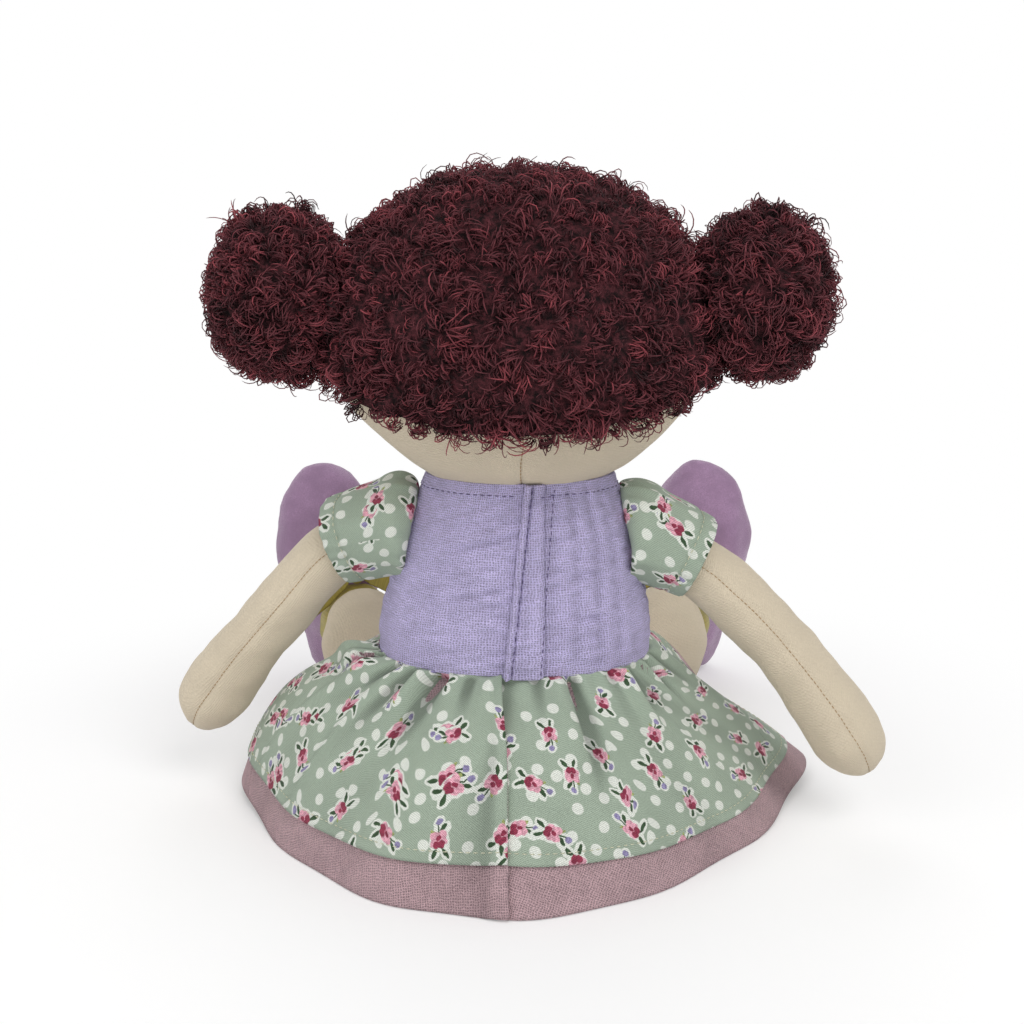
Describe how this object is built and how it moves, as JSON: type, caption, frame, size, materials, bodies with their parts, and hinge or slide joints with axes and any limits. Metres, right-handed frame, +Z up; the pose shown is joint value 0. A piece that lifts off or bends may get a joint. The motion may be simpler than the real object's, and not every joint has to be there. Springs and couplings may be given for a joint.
{
  "type": "rag doll",
  "caption": "Seated rag doll with hair buns, a gathered floral dress over an underskirt, a back flap, velour shoes and ankle bows.",
  "frame": {"origin": "on the floor under the middle of the seated doll's bounding box", "axes": "+X to the doll's own left, the way across its two hands and its longest extent; -Y the way it faces; +Z up, along its body"},
  "size_m": [0.2906, 0.2776, 0.2618],
  "materials": {
    "jersey": "matt cream cotton jersey",
    "gauze": "matt crinkled lilac double gauze",
    "floral": "matt sage cotton with a ditsy floral print and dots",
    "pink_gauze": "matt dusty pink gauze",
    "hair": "dark burgundy looped wool pile",
    "tape": "brushed hook and loop tape",
    "velour": "short mauve velour pile",
    "ribbon": "soft satin ribbon, mustard",
    "dark_thread": "stranded embroidery thread",
    "red_thread": "stranded embroidery thread"
  },
  "bodies": {
    "torso": {"torso": "jersey", "bodice_front": "gauze", "bodice_back_left": "gauze", "bodice_back_right": "gauze", "loop_tape": "tape", "skirt": "floral", "underskirt": "pink_gauze"},
    "flap": {"back_flap": "gauze", "hook_tape": "tape"},
    "neck": {"neck": "jersey"},
    "head": {"head": "jersey", "hair_cap": "hair", "bun_left": "hair", "bun_right": "hair", "eye_left": "dark_thread", "eye_right": "dark_thread", "nose": "red_thread", "mouth": "red_thread"},
    "sleeve_left": {"sleeve_left": "floral"},
    "arm_left": {"arm_left": "jersey"},
    "hip_tab_left": {"hip_tab_left": "jersey"},
    "leg_left": {"leg_left": "jersey", "shoe_left": "velour", "sole_left": "velour", "ankle_ribbon_left": "ribbon", "bow_left": "ribbon", "bow_knot_left": "ribbon"},
    "sleeve_right": {"sleeve_right": "floral"},
    "arm_right": {"arm_right": "jersey"},
    "hip_tab_right": {"hip_tab_right": "jersey"},
    "leg_right": {"leg_right": "jersey", "shoe_right": "velour", "sole_right": "velour", "ankle_ribbon_right": "ribbon", "bow_right": "ribbon", "bow_knot_right": "ribbon"}
  },
  "joints": [
    {"name": "neck_turn", "type": "hinge", "parent": "torso", "child": "neck", "pos_m": [0.00083, 0.05424, 0.138], "axis": [0, 0, 1], "range_deg": [-60, 60]},
    {"name": "head_nod", "type": "hinge", "parent": "neck", "child": "head", "pos_m": [0.00083, 0.05424, 0.158], "axis": [1, 0, 0], "range_deg": [-13, 13]},
    {"name": "shoulder_swing_left", "type": "hinge", "parent": "torso", "child": "sleeve_left", "pos_m": [0.04383, 0.05424, 0.123], "axis": [-1, 0, 0], "range_deg": [-60, 90], "deforming": ["sleeve_left"]},
    {"name": "shoulder_raise_left", "type": "hinge", "parent": "sleeve_left", "child": "arm_left", "pos_m": [0.04383, 0.05424, 0.123], "axis": [0, -1, 0], "range_deg": [-4, 70], "deforming": ["sleeve_left"]},
    {"name": "shoulder_swing_right", "type": "hinge", "parent": "torso", "child": "sleeve_right", "pos_m": [-0.04217, 0.05424, 0.123], "axis": [-1, 0, 0], "range_deg": [-60, 90], "deforming": ["sleeve_right"]},
    {"name": "shoulder_raise_right", "type": "hinge", "parent": "sleeve_right", "child": "arm_right", "pos_m": [-0.04217, 0.05424, 0.123], "axis": [0, 1, 0], "range_deg": [-4, 70], "deforming": ["sleeve_right"]},
    {"name": "hip_flex_left", "type": "hinge", "parent": "torso", "child": "hip_tab_left", "pos_m": [0.02283, 0.02409, 0.013], "axis": [-1, 0, 0], "range_deg": [-90, 8], "deforming": ["hip_tab_left", "skirt", "underskirt"]},
    {"name": "hip_spread_left", "type": "hinge", "parent": "hip_tab_left", "child": "leg_left", "pos_m": [0.02283, 0.02409, 0.013], "axis": [0, 0, 1], "range_deg": [-20, 10], "deforming": ["hip_tab_left"]},
    {"name": "hip_flex_right", "type": "hinge", "parent": "torso", "child": "hip_tab_right", "pos_m": [-0.02117, 0.02409, 0.013], "axis": [-1, 0, 0], "range_deg": [-90, 8], "deforming": ["hip_tab_right", "skirt", "underskirt"]},
    {"name": "hip_spread_right", "type": "hinge", "parent": "hip_tab_right", "child": "leg_right", "pos_m": [-0.02117, 0.02409, 0.013], "axis": [0, 0, -1], "range_deg": [-20, 10], "deforming": ["hip_tab_right"]},
    {"name": "flap_open", "type": "hinge", "parent": "torso", "child": "flap", "pos_m": [-0.00867, 0.08576, 0.10865], "axis": [0, -0.1547, 0.988], "range_deg": [0, 100]}
  ]
}
